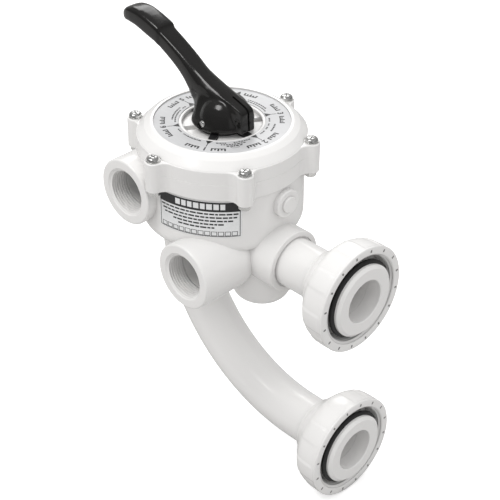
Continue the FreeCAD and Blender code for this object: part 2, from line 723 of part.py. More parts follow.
def upper_pipe():
    start = "outlet_stop+0.1"
    return turned("upper_pipe_turned", [
        ("pipe_bore", start), ("pipe_rad", start),
        ("pipe_rad", "pipe_end"), ("pipe_bore", "pipe_end")], rot=TO_X)


def union_nut(level, z):
    nut = turned(level + "_nut_turned", NUT_PROFILE, 0, 0, z, TO_X)
    round_ring(nut, level + "_nut_round_1", 9.0, *NUT_PROFILE[4])
    round_ring(nut, level + "_nut_round_2", 14.0, *NUT_PROFILE[5])
    return nut


def union_pieces(level, z):
    """Tailpiece, nut and O-ring of one union, by piece name."""
    return {
        level + "_tailpiece": turned(level + "_tail_turned", TAIL_PROFILE, 0, 0, z, TO_X),
        level + "_union_nut": union_nut(level, z),
        level + "_union_o_ring": torus(level + "_union_ring", "nose_rad+0.52", 2.85,
                                       "nose_face-8.2", z, TO_X),
    }


# ---------------------------------------------------------------- bent tube
def tube_path(body):
    """Down from the body, a quarter bend, then along +X to the lower union."""
    path = sketch_on(body, "lower_tube_path", "XZ_Plane")
    bend = DIM["tube_bend"]
    down_x = num("-chamber_off")
    along_z = num("-union_pitch")
    centre = Vector(down_x + bend, along_z + bend, 0)
    path.addGeometry(Part.LineSegment(Vector(down_x, num("tube_stop-0.1"), 0),
                                      Vector(down_x, centre.y, 0)), False)
    path.addGeometry(Part.ArcOfCircle(Part.Circle(centre, UP, bend),
                                      math.pi, 1.5 * math.pi), False)
    path.addGeometry(Part.LineSegment(Vector(centre.x, along_z, 0),
                                      Vector(DIM["pipe_end"], along_z, 0)), False)
    path.addConstraint(Sketcher.Constraint("Tangent", 0, 2, 1, 1))
    path.addConstraint(Sketcher.Constraint("Tangent", 1, 2, 2, 1))
    path.addConstraint(Sketcher.Constraint("Vertical", 0))
    path.addConstraint(Sketcher.Constraint("Horizontal", 2))
    dimension(path, "-chamber_off", "DistanceX", -1, 1, 0, 1)
    dimension(path, "tube_stop-0.1", "DistanceY", -1, 1, 0, 1)
    dimension(path, "pipe_end", "DistanceX", -1, 1, 2, 2)
    dimension(path, "-union_pitch", "DistanceY", -1, 1, 2, 2)
    dimension(path, "tube_bend", "Radius", 1)
    doc.recompute()
    return path


def tube_section(body):
    """Two circles about the top end of the path."""
    section = sketch_on(body, "lower_tube_section", "XY_Plane")
    x, z = "-chamber_off", "tube_stop-0.1"
    section.AttachmentOffset = Placement(Vector(num(x), 0, num(z)), Rotation())
    section.setExpression("AttachmentOffset.Base.x", formula(x))
    section.setExpression("AttachmentOffset.Base.z", formula(z))
    for radius in ("pipe_rad", "pipe_bore"):
        circle = section.addGeometry(Part.Circle(Vector(0, 0, 0), UP, DIM[radius]), False)
        section.addConstraint(Sketcher.Constraint("Coincident", circle, 3, -1, 1))
        dimension(section, radius, "Radius", circle)
    doc.recompute()
    return section


def lower_tube():
    body = doc.addObject("PartDesign::Body", "lower_tube_body")
    path = tube_path(body)
    section = tube_section(body)
    sweep = body.newObject("PartDesign::AdditivePipe", "lower_tube_sweep")
    sweep.Profile = section
    sweep.Spine = (path, ["Edge1", "Edge2", "Edge3"])
    doc.recompute()
    body.Tip = sweep
    doc.recompute()
    return body


# ---------------------------------------------------------------- label on the barrel
def body_label():
    outer = cyl("label_outer", "barrel_rad+0.02+label_thick", "label_high-label_low",
                z="label_low", rot=Rotation(UP, DIM["label_from"]), angle="label_turn")
    inner = cyl("label_inner", "barrel_rad+0.02", "label_high-label_low+2", z="label_low-1")
    return cut("label_cut", outer, inner)


# ---------------------------------------------------------------- finished pieces
def finished(name, drawn):
    """Moves a drawn piece to the final origin."""
    piece = doc.addObject("Part::Compound", name + "_piece")
    piece.Links = [drawn]
    drawn.Label = name + "_drawn"
    piece.Label = name
    return place(piece, "-union_face")


drawings = {
    "valve_body": valve_body(),
    "lid": lid(),
    "lid_o_ring": lid_o_ring(),
    "lid_washers": lid_washers(),
    "lid_screws": lid_screws(),
    "lid_nuts": lid_nuts(),
    "dial_plate": dial_plate(),
    "cam_plate": cam_plate(),
    "handle_washer": handle_washer(),
    "handle": handle(),
    "handle_pin": handle_pin(),
    "rotor": rotor(),
    "spider_gasket": spider_gasket(),
    "rotor_spring": feature("spring_coil", spring_shape()),
    "spring_foot_washer": spring_washer("foot_washer_turned", "rotor_top+2.4", "spring_low"),
    "spring_top_washer": spring_washer("top_washer_turned", "spring_high", "lid_core-13.6"),
    "stem_o_rings": stem_o_rings(),
    "gauge_plug": gauge_plug(),
    "upper_pipe": upper_pipe(),
    **union_pieces("upper", 0),
    **union_pieces("lower", "-union_pitch"),
    "lower_tube": lower_tube(),
    "body_label": body_label(),
}
pieces = {name: finished(name, drawn) for name, drawn in drawings.items()}

# ---------------------------------------------------------------- checks and files
doc.recompute()
faults = []
for o in doc.Objects:
    if any(state in ("Invalid", "Error") for state in o.State):
        faults.append("%s %s" % (o.Name, o.State))
for name, piece in pieces.items():
    shape = piece.Shape
    if shape.isNull() or not shape.isValid() or not shape.Solids:
        faults.append(name + " has no valid solid")
if faults:
    raise RuntimeError("; ".join(faults))
for name, piece in pieces.items():
    solids = piece.Shape.Solids
    result = solids[0] if len(solids) == 1 else Part.makeCompound(solids)
    result.exportStep("parts/%s.step" % name)
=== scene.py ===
"""A multiport pipe valve: white body, silver dial, black lever handle and two union nuts.

The row frame has Z up. The spindle stands along Z at x = -194 mm. The lever reaches from it
towards -X, the union nuts lie along X on the +X side, ports A and B open to -Y and port C to +Y.
Piece geometry is written in mm about the spindle axis; build() moves it to the row frame.
"""
import math

import bmesh
import bpy
import numpy as np
from mathutils import Matrix, Vector


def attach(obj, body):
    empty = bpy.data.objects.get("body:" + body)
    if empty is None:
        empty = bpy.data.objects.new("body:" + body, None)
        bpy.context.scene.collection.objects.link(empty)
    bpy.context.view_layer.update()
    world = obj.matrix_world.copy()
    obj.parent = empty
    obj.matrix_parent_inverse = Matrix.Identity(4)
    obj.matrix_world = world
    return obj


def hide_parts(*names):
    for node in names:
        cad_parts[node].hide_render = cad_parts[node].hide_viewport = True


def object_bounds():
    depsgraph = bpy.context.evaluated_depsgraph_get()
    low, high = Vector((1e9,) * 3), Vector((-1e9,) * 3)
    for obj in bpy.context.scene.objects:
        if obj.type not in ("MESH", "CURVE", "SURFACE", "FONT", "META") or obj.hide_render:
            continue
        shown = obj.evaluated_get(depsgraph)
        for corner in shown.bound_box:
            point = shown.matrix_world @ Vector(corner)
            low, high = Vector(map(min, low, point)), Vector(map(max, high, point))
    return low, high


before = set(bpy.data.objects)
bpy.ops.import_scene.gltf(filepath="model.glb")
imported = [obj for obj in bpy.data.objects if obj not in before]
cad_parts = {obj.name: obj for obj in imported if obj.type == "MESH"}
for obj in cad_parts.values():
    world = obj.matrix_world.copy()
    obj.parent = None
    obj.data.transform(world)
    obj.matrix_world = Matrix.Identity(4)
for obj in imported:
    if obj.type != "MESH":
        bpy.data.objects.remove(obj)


def rounded_box(bounds):
    return [[round(float(c), 6) for c in corner] for corner in (bounds[0], bounds[1])]


cad_box = rounded_box(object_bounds())
scene = bpy.context.scene
MM = 0.001
TAU = 2.0 * math.pi
SPINDLE_X = -194.0
BODY = "housing"
HINGE_Z = 125.0  # height of the lever's hinge pin

# ------------------------------------------------------------------ shader nodes
LOOKS = {}  # material by short name


def wire(tree, node, inputs):
    """Sets each input of a node: a socket is linked, anything else is its value."""
    for key, value in inputs.items():
        if isinstance(value, bpy.types.NodeSocket):
            tree.links.new(value, node.inputs[key])
        else:
            node.inputs[key].default_value = value


def add_node(tree, kind, inputs, **settings):
    node = tree.nodes.new("ShaderNode" + kind)
    for key, value in settings.items():
        setattr(node, key, value)
    wire(tree, node, inputs)
    return node


class Look:
    """A Principled material whose textures follow object coordinates (metres)."""

    def __init__(self, name):
        material = bpy.data.materials.new(name + "_look")
        material.use_nodes = True
        LOOKS[name] = material
        self.tree = material.node_tree
        self.bsdf = self.tree.nodes["Principled BSDF"]
        self.coord = self.node("TexCoord", {}).outputs["Object"]

    def node(self, kind, inputs, **settings):
        return add_node(self.tree, kind, inputs, **settings)

    def surface(self, inputs):
        wire(self.tree, self.bsdf, inputs)

    def noise(self, scale, detail=3.0, roughness=0.55, stretch=None):
        settings = {"Scale": scale, "Detail": detail, "Roughness": roughness}
        texture = self.node("TexNoise", settings)
        coord = self.coord
        if stretch:
            mapping = self.node("Mapping", {"Scale": stretch, "Vector": coord})
            coord = mapping.outputs["Vector"]
        wire(self.tree, texture, {"Vector": coord})
        return texture.outputs["Fac"]

    def ramp(self, factor, *stops):
        """Colour between two (position, colour) stops."""
        node = self.node("ValToRGB", {"Fac": factor})
        for element, (position, colour) in zip(node.color_ramp.elements, stops):
            element.position = position
            element.color = (*colour, 1)
        return node.outputs["Color"]

    def remap(self, factor, low, high):
        """Spreads the middle of a noise, 0.3 to 0.7, over low to high."""
        limits = {"From Min": 0.3, "From Max": 0.7, "To Min": low, "To Max": high}
        return self.node("MapRange", {**limits, "Value": factor}).outputs["Result"]

    def bevel(self, radius, samples):
        return self.node("Bevel", {"Radius": radius}, samples=samples).outputs["Normal"]

    def bump(self, height, strength, distance, normal=None):
        inputs = {"Strength": strength, "Distance": distance, "Height": height}
        if normal is not None:
            inputs["Normal"] = normal
        return self.node("Bump", inputs).outputs["Normal"]


# ------------------------------------------------------------------ materials


def plastic(name, pale, dark, roughness, peel_scale=420.0, coat=0.25, edge=0.0,
            specular=0.5, painted_recess_shade=0.0, relief=1.0):
    """Moulded plastic: flow mottling, orange peel, optional painted shade in creases and recesses,
    and softened edges.
    """
    look = Look(name)
    mottle = look.noise(scale=22.0, detail=4.0, roughness=0.6)
    grain = look.noise(scale=190.0, roughness=0.5)
    colour = look.ramp(mottle, (0.25, dark), (0.75, pale))
    # painted shade: ambient occlusion multiplied into the base colour darkens creases, recesses and
    # gaps between parts
    if painted_recess_shade > 0.0:
        recess_shade_ao = look.node("AmbientOcclusion", {"Distance": 0.008}, samples=8)
        mix = look.node("Mix", {"Factor": painted_recess_shade, "A": colour, "B": recess_shade_ao.outputs["Color"]},
                        data_type="RGBA", blend_type="MULTIPLY")
        colour = mix.outputs["Result"]
    look.surface({"Base Color": colour, "Roughness": look.remap(grain, *roughness)})
    normal = look.bevel(radius=edge, samples=6) if edge > 0 else None
    peel = look.noise(scale=peel_scale, detail=2.0, roughness=0.5)
    normal = look.bump(peel, strength=0.06 * relief, distance=0.00002, normal=normal)
    normal = look.bump(mottle, strength=0.02 * relief, distance=0.0001, normal=normal)
    look.surface({"Normal": normal, "Coat Weight": coat, "Coat Roughness": 0.12,
                  "Specular IOR Level": specular, "IOR": 1.49})


def metal(name, pale, dark, roughness):
    """Bright metal with fine streaks and softened edges."""
    look = Look(name)
    streak = look.noise(scale=260.0, detail=4.0, roughness=0.6, stretch=(1, 1, 9))
    spots = look.noise(scale=90.0, roughness=0.5)
    look.surface({
        "Base Color": look.ramp(spots, (0.3, dark), (0.7, pale)),
        "Roughness": look.remap(streak, *roughness),
        "Metallic": 1.0,
        "Anisotropic": 0.3,
    })
    edges = look.bevel(radius=0.0004, samples=4)
    look.surface({"Normal": look.bump(streak, strength=0.35, distance=0.00002, normal=edges)})


def foil(name):
    """Satin silver sheet with a brushed grain and faint cloudiness."""
    look = Look(name)
    grain = look.noise(scale=60.0, detail=5.0, roughness=0.65, stretch=(1.0, 26.0, 1.0))
    cloud = look.noise(scale=30.0, roughness=0.5)
    look.surface({
        "Base Color": look.ramp(grain, (0.25, (0.55, 0.552, 0.56)), (0.75, (0.63, 0.633, 0.64))),
        "Roughness": look.remap(cloud, 0.34, 0.46),
        "Metallic": 0.12,
        "Normal": look.bump(grain, strength=0.25, distance=0.00002),
    })


def film(name):
    """Pale label film with a slight waviness."""
    look = Look(name)
    paper = look.noise(scale=500.0, detail=4.0, roughness=0.6)
    wave = look.noise(scale=35.0, detail=2.0, roughness=0.5)
    look.surface({
        "Base Color": look.ramp(paper, (0.3, (0.80, 0.81, 0.815)), (0.7, (0.87, 0.875, 0.88))),
        "Roughness": look.remap(wave, 0.30, 0.42),
        "Normal": look.bump(wave, strength=0.2, distance=0.0002),
    })


def ink(name, pale, dark):
    """Printed ink with a very fine grain."""
    look = Look(name)
    grain = look.noise(scale=1400.0, roughness=0.6)
    look.surface({"Base Color": look.ramp(grain, (0.3, dark), (0.7, pale)),
                  "Roughness": look.remap(grain, 0.32, 0.5)})


def rubber(name, pale, dark):
    """Matt rubber with dusty patches."""
    look = Look(name)
    dust = look.noise(scale=130.0, detail=4.0, roughness=0.6)
    look.surface({
        "Base Color": look.ramp(dust, (0.35, dark), (0.8, pale)),
        "Roughness": look.remap(dust, 0.5, 0.68),
        "Normal": look.bump(look.noise(scale=900.0, detail=2.0), strength=0.4, distance=0.00003),
    })


# The shade strength given to each plastic paints shade into its creases, recesses and threads
# (ambient occlusion in the colour).
plastic("white_body", pale=(0.862, 0.853, 0.843), dark=(0.852, 0.843, 0.833),
        roughness=(0.22, 0.26), painted_recess_shade=0.18, relief=0.12)
plastic("white_pipe", pale=(0.866, 0.857, 0.847), dark=(0.856, 0.847, 0.837),
        roughness=(0.22, 0.26), peel_scale=300.0, painted_recess_shade=0.15, relief=0.12)
plastic("white_nut", pale=(0.866, 0.857, 0.847), dark=(0.856, 0.847, 0.837),
        roughness=(0.17, 0.21), painted_recess_shade=0.3, relief=0.12)
plastic("black_gloss", pale=(0.013, 0.0125, 0.012), dark=(0.009, 0.0085, 0.008),
        roughness=(0.15, 0.19), peel_scale=260.0, coat=0.1, specular=0.45)
plastic("black_plastic", pale=(0.020, 0.020, 0.021), dark=(0.012, 0.012, 0.013),
        roughness=(0.3, 0.42), coat=0.1, edge=0.0005)
plastic("dark_rotor", pale=(0.060, 0.062, 0.065), dark=(0.042, 0.043, 0.046),
        roughness=(0.35, 0.5), coat=0.0, edge=0.0009)
rubber("black_rubber", pale=(0.022, 0.022, 0.023), dark=(0.012, 0.012, 0.012))
rubber("grey_gasket", pale=(0.16, 0.16, 0.165), dark=(0.11, 0.11, 0.115))
metal("stainless", pale=(0.78, 0.78, 0.77), dark=(0.66, 0.66, 0.65), roughness=(0.18, 0.34))
metal("spring_steel", pale=(0.60, 0.60, 0.60), dark=(0.48, 0.48, 0.48), roughness=(0.22, 0.4))
foil("dial_foil")
film("label_film")
ink("print_black", pale=(0.022, 0.022, 0.024), dark=(0.012, 0.012, 0.013))
ink("print_grey", pale=(0.20, 0.20, 0.205), dark=(0.13, 0.13, 0.135))  # a spare: no piece wears it
# grey for painted shade: it colours the small ticks on the white union nuts
ink("painted_shade_grey", pale=(0.20, 0.20, 0.195), dark=(0.14, 0.14, 0.135))

# CAD pieces by look; any piece not named here is white_body.
PIECES = {
    "white_pipe": ("upper_pipe", "upper_tailpiece", "lower_tailpiece", "lower_tube"),
    "white_nut": ("gauge_plug", "upper_union_nut", "lower_union_nut"),
    "black_rubber": ("lid_o_ring", "stem_o_rings", "upper_union_o_ring", "lower_union_o_ring"),
    "grey_gasket": ("spider_gasket",),
    "stainless": ("lid_washers", "lid_screws", "lid_nuts", "handle_washer", "handle_pin",
                  "spring_foot_washer", "spring_top_washer"),
    "spring_steel": ("rotor_spring",),
    "dial_foil": ("dial_plate",),
    "label_film": ("body_label",),
    "black_plastic": ("cam_plate",),
    "black_gloss": ("handle",),
    "dark_rotor": ("rotor",),
}
LOOK_OF = {piece: look for look, pieces in PIECES.items() for piece in pieces}
for piece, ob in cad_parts.items():
    ob.data.materials.clear()
    ob.data.materials.append(LOOKS[LOOK_OF.get(piece, "white_body")])

# ------------------------------------------------------------------ plane shapes and curves


def clamp(value):
    return min(1.0, max(0.0, value))


def smoothstep(value):
    value = clamp(value)
    return value * value * (3 - 2 * value)


def rectangle(x0, x1, y0, y1):
    return [(x0, y0), (x1, y0), (x1, y1), (x0, y1)]


def polar(radius, degrees):
    angle = math.radians(degrees)
    return radius * math.cos(angle), radius * math.sin(angle)


def spun(points, angle):
    """Plane points turned about the origin by an angle in radians."""
    ca, sa = math.cos(angle), math.sin(angle)
    return [(x * ca - y * sa, x * sa + y * ca) for x, y in points]


def at_height(points, z):
    return [(x, y, z) for x, y in points]


def subdivided(points, step):
    """A polyline with points added about every step."""
    fine = []
    for (x0, r0), (x1, r1) in zip(points, points[1:]):
        count = max(1, int(math.hypot(x1 - x0, r1 - r0) / step))
        for i in range(count):
            fine.append((x0 + (x1 - x0) * i / count, r0 + (r1 - r0) * i / count))
    return fine + [points[-1]]


def spans(start, end, step=2.5):
    """Equal (start, end) pieces of a range of degrees, none longer than step."""
    count = max(1, int(math.ceil(abs(end - start) / step)))
    edges = [start + (end - start) * i / count for i in range(count + 1)]
    return list(zip(edges, edges[1:]))


def thread_ridge(turns, foot, rise):
    """Height, 0 to 1, of a flat-topped thread at a number of turns."""
    crest = 1 - abs((turns % 1.0) * 2 - 1)
    return clamp((crest - foot) / rise)


# ------------------------------------------------------------------ meshes as (verts, faces)


def lattice(rings, size, wrap=True, closed=True):
    """Quads from each ring of points to the next.

    wrap joins the last ring to the first, closed joins the ends of each ring.
    """
    faces = []
    for k in range(rings if wrap else rings - 1):
        here, there = k * size, (k + 1) % rings * size
        for i in range(size if closed else size - 1):
            j = (i + 1) % size
            faces.append((here + i, here + j, there + j, there + i))
    return faces


def flipped(faces):
    return [(q[0],) + q[:0:-1] for q in faces]


def end_caps(rings, size):
    return [tuple(range(size - 1, -1, -1)), tuple(range((rings - 1) * size, rings * size))]


def stacked(*rings):
    """A closed solid skinned through rings of points."""
    size = len(rings[0])
    verts = [point for ring in rings for point in ring]
    return verts, end_caps(len(rings), size) + lattice(len(rings), size, wrap=False)


def box(x_range, y_range, z_range):
    outline = rectangle(*x_range, *y_range)
    return stacked(*[at_height(outline, z) for z in z_range])


def prism(outline, y0, y1):
    """A closed prism of an XZ outline."""
    return stacked(*[[(x, y, z) for x, z in outline] for y in (y0, y1)])


def turned_points(profile, segments, x0, y0):
    verts = []
    for k in range(segments):
        angle = TAU * k / segments
        for r, z in profile:
            verts.append((x0 + r * math.cos(angle), y0 + r * math.sin(angle), z))
    return verts


def turned(profile, segments, x0=0.0, y0=0.0):
    """A solid turned about Z from an open (radius, z) profile, with flat ends."""
    size = len(profile)
    faces = flipped(lattice(segments, size, closed=False))
    faces.append(tuple(k * size for k in range(segments - 1, -1, -1)))
    faces.append(tuple(k * size + size - 1 for k in range(segments)))
    return turned_points(profile, segments, x0, y0), faces


def turned_ring(profile, segments):
    """A ring turned about Z from a closed (radius, z) profile."""
    verts = turned_points(profile, segments, 0.0, 0.0)
    return verts, flipped(lattice(segments, len(profile)))


def merged(parts):
    verts, faces = [], []
    for part_verts, part_faces in parts:
        base = len(verts)
        verts += part_verts
        faces += [tuple(base + i for i in face) for face in part_faces]
    return verts, faces


# ------------------------------------------------------------------ objects


def build(name, mesh):
    """An object from a mesh in mm about the spindle."""
    verts, faces = mesh
    data = bpy.data.meshes.new(name)
    data.from_pydata([((x + SPINDLE_X) * MM, y * MM, z * MM) for x, y, z in verts], [], faces)
    data.update()
    ob = bpy.data.objects.new(name, data)
    scene.collection.objects.link(ob)
    return ob


def face_outward(ob):
    bm = bmesh.new()
    bm.from_mesh(ob.data)
    bmesh.ops.recalc_face_normals(bm, faces=bm.faces)
    bm.to_mesh(ob.data)
    bm.free()


def solid(name, parts):
    """One object from closed parts, with its normals turned outward."""
    ob = build(name, merged(parts))
    face_outward(ob)
    return ob


def dress(ob, look, body, angle=None, slot=None, replaces=None):
    data = ob.data
    data.materials.clear()
    data.materials.append(LOOKS[look])
    if angle is not None:
        data.polygons.foreach_set("use_smooth", [True] * len(data.polygons))
        data.set_sharp_from_angle(angle=math.radians(angle))
    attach(ob, body)
    slot or look
    if replaces:
        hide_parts(replaces)


def put(name, mesh, look, body, **finish):
    ob = build(name, mesh)
    ob.data.validate()
    dress(ob, look, body, **finish)
    return ob


def evaluated_mesh(ob):
    bpy.context.view_layer.update()
    graph = bpy.context.evaluated_depsgraph_get()
    return bpy.data.meshes.new_from_object(ob.evaluated_get(graph))


def bake(ob):
    """Replaces the object's mesh with its modified mesh."""
    data = evaluated_mesh(ob)
    ob.modifiers.clear()
    old = ob.data
    ob.data = data
    bpy.data.meshes.remove(old)


def carve(ob, name, parts):
    """Cuts closed parts out of an object."""
    cutter = solid(name, parts)
    cut = ob.modifiers.new("carve", "BOOLEAN")
    cut.operation = "DIFFERENCE"
    cut.solver = "EXACT"
    cut.object = cutter
    bake(ob)
    bpy.data.objects.remove(cutter)


# ------------------------------------------------------------------ union nuts
NUT_AXES = (("upper", 0.0), ("lower", -190.5))  # height of each nut's axis
NUT_SEGMENTS = 256
LUGS = 8
LUG_HEIGHT = 0.95
LUG_SHIFT = 0.30  # radians
NUT_PITCH = 3.2
NUT_THREAD_DEPTH = 2.3

# Nut outlines, (x, radius)
NUT_SHOULDER = [
    (146.0, 32.0), (148.5, 34.4), (151.0, 37.0), (154.0, 40.2), (157.0, 43.6), (160.0, 47.0),
    (163.0, 50.2), (165.5, 52.6), (168.0, 54.2), (171.0, 55.3), (175.0, 55.9), (180.0, 56.2),
]
NUT_SIDE = [(180.0, 56.2), (185.0, 56.25), (190.6, 56.2)]
NUT_RIM = [
    (191.2, 56.3), (191.8, 56.6), (192.6, 56.75), (193.2, 56.6), (193.7, 56.1), (194.0, 55.3),
    (194.0, 52.0), (194.0, 48.9), (193.85, 48.4), (193.5, 48.1),
]
NUT_BORE = [(193.2, 48.0), (168.5, 48.0)]
NUT_INSIDE = [
    (167.5, 48.0), (166.2, 47.6), (166.0, 47.0), (166.0, 33.0), (165.4, 32.0), (162.2, 27.2),
    (161.4, 26.7), (144.5, 26.7), (143.4, 26.8),
]


def lug_wave(angle):
    """1 on a lug and 0 between lugs, with a short ramp on each side."""
    distance = abs((angle * LUGS / TAU) % 1.0 - 0.5) * 2.0
    return 1.0 - smoothstep((distance - 0.42) / 0.07)


def lug_relief(x, angle):
    """Lugs grow out of the shoulder and die away before the rim."""
    strength = smoothstep((x - 158.0) / 14.0) * clamp(1 - (x - 188.0) / 3.0)
    return LUG_HEIGHT * strength * (lug_wave(angle + LUG_SHIFT) - 0.5)


def nut_thread(x, angle):
    fade = clamp(min((193.3 - x) / 1.2, (x - 168.0) / 2.5))
    ridge = thread_ridge(x / NUT_PITCH + angle / TAU, foot=0.15, rise=0.7)
    return NUT_THREAD_DEPTH * ridge * fade


def nut_mesh(axis_z):
    neck = [(143.2, 27.2)]
    for i in range(1, 5):
        x, r = polar(1.2, 180 + (115 - 180) * i / 4)
        neck.append((144.2 + x, 29.5 + r))
    outside = neck + NUT_SHOULDER + subdivided(NUT_SIDE, 2.0)[1:]
    thread = subdivided(NUT_BORE, 0.36)
    thread_start = len(outside) + len(NUT_RIM)
    thread_end = thread_start + len(thread)
    profile = outside + NUT_RIM + thread + NUT_INSIDE
    verts = []
    for k in range(NUT_SEGMENTS):
        angle = TAU * k / NUT_SEGMENTS
        for i, (x, r) in enumerate(profile):
            if i < len(outside):
                r += lug_relief(x, angle)
            elif thread_start <= i < thread_end:
                r -= nut_thread(x, angle)
            verts.append((x, r * math.cos(angle), r * math.sin(angle) + axis_z))
    return verts, lattice(NUT_SEGMENTS, len(profile))


def rim_marks(axis_z, count=16):
    """Small raised ticks round the nut's +X face; they wear grey as painted shade on the white nut.
    """
    outline = [(50.9, -1.05), (53.9, -0.85), (53.9, 0.85), (50.9, 1.05)]  # radius, offset
    faces = [(0, 1, 2, 3), (7, 6, 5, 4)] + flipped(lattice(2, 4, wrap=False))
    parts = []
    for k in range(count):
        ring = spun(outline, TAU * (k + 0.5) / count)
        verts = [(x, y, z + axis_z) for x in (193.9, 194.08) for y, z in ring]
        parts.append((verts, faces))
    return merged(parts)


for level, axis_z in NUT_AXES:
    body = level + "_nut"
    put(level + "_union_nut_shell", nut_mesh(axis_z), "white_nut", body, angle=40.0,
        replaces=level + "_union_nut")
    # the rim ticks are white nut, painted grey as shade
    put(level + "_nut_rim_marks", rim_marks(axis_z), "painted_shade_grey", body, angle=30.0,
        slot="white_nut")

# ------------------------------------------------------------------ pipe threads in the ports
PORTS = (("a", -42.0, 57.0, -1), ("b", 42.0, -4.0, -1), ("c", -42.0, -4.0, 1))  # x, z, Y sign
PORT_MOUTH, PORT_END = 93.9, 74.2  # distance from the XZ plane
PORT_BORE = [(PORT_MOUTH, 24.05), (PORT_END, 23.75)]  # distance, radius
PORT_OUTER_RADIUS = 24.8
PORT_SEGMENTS = 160
PORT_PITCH = 2.9
PORT_THREAD_DEPTH = 1.9


def port_thread(axis_x, axis_z, side):
    """A closed sleeve threaded inside. side is the sign of the port's outward Y."""
    bore = subdivided(PORT_BORE, 0.27)
    profile = bore + [(PORT_END, PORT_OUTER_RADIUS), (PORT_MOUTH, PORT_OUTER_RADIUS)]
    verts = []
    for k in range(PORT_SEGMENTS):
        angle = TAU * k / PORT_SEGMENTS
        for i, (y, r) in enumerate(profile):
            if i < len(bore):
                turns = y / PORT_PITCH + side * angle / TAU
                fade = clamp(min((93.95 - y) / 0.9, (y - 74.1) / 1.5))
                r -= PORT_THREAD_DEPTH * thread_ridge(turns, foot=0.16, rise=0.68) * fade
            verts.append((axis_x + r * math.cos(angle), side * y, axis_z + r * math.sin(angle)))
    faces = lattice(PORT_SEGMENTS, len(profile))
    if side > 0:
        faces = [tuple(reversed(face)) for face in faces]
    return verts, faces


for port, axis_x, axis_z, side in PORTS:
    put("port_%s_thread" % port, port_thread(axis_x, axis_z, side), "white_body", BODY, angle=45.0)

# ------------------------------------------------------------------ printed ink: thin slabs
rng = np.random.RandomState(7)  # shared by the dial and the label, in that order


def dashes(start, stop, last, width, gap, skip=0.0, unit=1.0):
    """Random dashes as (start, end). None ends past last; a share of them, skip, is left out."""
    while start < stop:
        length = float(rng.uniform(*width)) * unit
        if not skip or rng.uniform() > skip:
            yield start, min(start + length, last)
        start += length + gap * unit


def put_print(name, parts, look, slot):
    face_outward(put(name, merged(parts), look, BODY, angle=30.0, slot=slot))


# ------------------------------------------------------------------ dial print
POSITIONS = 6
POSITION_STEP = 60.0
DIAL_TOP = 120.0
INK_HEIGHT, INK_SINK = 0.05, 0.03

# Rows of dashes: positions they follow, start, stop and last end in degrees past the position,
# dash width in degrees, inner and outer radius, share left out
DASH_ROWS = (
    (range(POSITIONS), 9.0, 51.0, 51.5, (1.4, 3.6), 46.3, 47.8, 0.12),
    ((1, 2, 3, 5), 15.0, 44.0, 45.0, (1.4, 3.6), 49.3, 50.9, 0.0),
    ((0, 2, 5), 21.0, 37.0, 38.0, (1.6, 3.4), 52.2, 53.9, 0.0),
)


def dial_slab(outline):
    return stacked(at_height(outline, DIAL_TOP - INK_SINK), at_height(outline, DIAL_TOP + INK_HEIGHT))


def dial_bar(degrees, inner, outer, width):
    """A straight radial bar."""
    bar = rectangle(inner, outer, -width / 2.0, width / 2.0)
    return dial_slab(spun(bar, math.radians(degrees)))


def dial_arc(start, end, inner, outer):
    return [dial_slab([polar(*corner) for corner in rectangle(inner, outer, s, e)])
            for s, e in spans(start, end)]


def dial_oval(centre, pieces=20):
    """An oval outline at radius 55.6, its sizes given in mm along the radius and in degrees."""
    def point(half_depth, half_width, t):
        return polar(55.6 + half_depth * math.sin(t), centre + half_width * math.cos(t))

    parts = []
    for i in range(pieces):
        t0, t1 = TAU * i / pieces, TAU * (i + 1) / pieces
        inner, outer = (1.3, 4.2), (1.7, 4.7)
        parts.append(dial_slab([point(*inner, t0), point(*outer, t0),
                                point(*outer, t1), point(*inner, t1)]))
    return parts


def dial_print():
    parts = []
    for k in range(POSITIONS):
        azimuth = POSITION_STEP * k
        pointer = [(44.1, -3.5), (50.6, 0.0), (44.1, 3.5)]
        parts.append(dial_slab(spun(pointer, math.radians(azimuth))))
        parts.append(dial_bar(azimuth, 50.2, 56.0, width=0.7))
        # a graduated arc on each side of the position's number
        for side in (-1, 1):
            for i in range(5):
                outer = 62.4 if i % 2 == 0 else 61.0
                parts.append(dial_bar(azimuth + side * (6.6 + 3.1 * i), 58.0, outer, width=1.7))
            parts += dial_arc(azimuth + side * 5.9, azimuth + side * 19.7, 57.4, 58.4)
        for positions, start, stop, last, width, inner, outer, skip in DASH_ROWS:
            if k in positions:
                row = dashes(azimuth + start, azimuth + stop, azimuth + last, width, 0.9, skip)
                for s, e in row:
                    parts += dial_arc(s, e, inner, outer)
        if k == 5:
            parts += dial_oval(azimuth + 29.5)
    return parts


def numeral(text, name, x, y, z, turn, size):
    """Mesh of a figure centred at x, y, z in mm and turned about Z by degrees."""
    curve = bpy.data.curves.new(name + "_curve", "FONT")
    curve.body = text
    curve.size = size * MM
    curve.align_x = "CENTER"
    curve.align_y = "CENTER"
    curve.extrude = 0.00004
    curve.offset = 0.00028  # thickens the strokes
    curve.resolution_u = 4
    holder = bpy.data.objects.new(name + "_tmp", curve)
    scene.collection.objects.link(holder)
    data = evaluated_mesh(holder)
    bpy.data.objects.remove(holder)
    bpy.data.curves.remove(curve)
    place = Matrix.Translation(((x + SPINDLE_X) * MM, y * MM, z * MM))
    data.transform(place @ Matrix.Rotation(math.radians(turn), 4, "Z"))
    return data


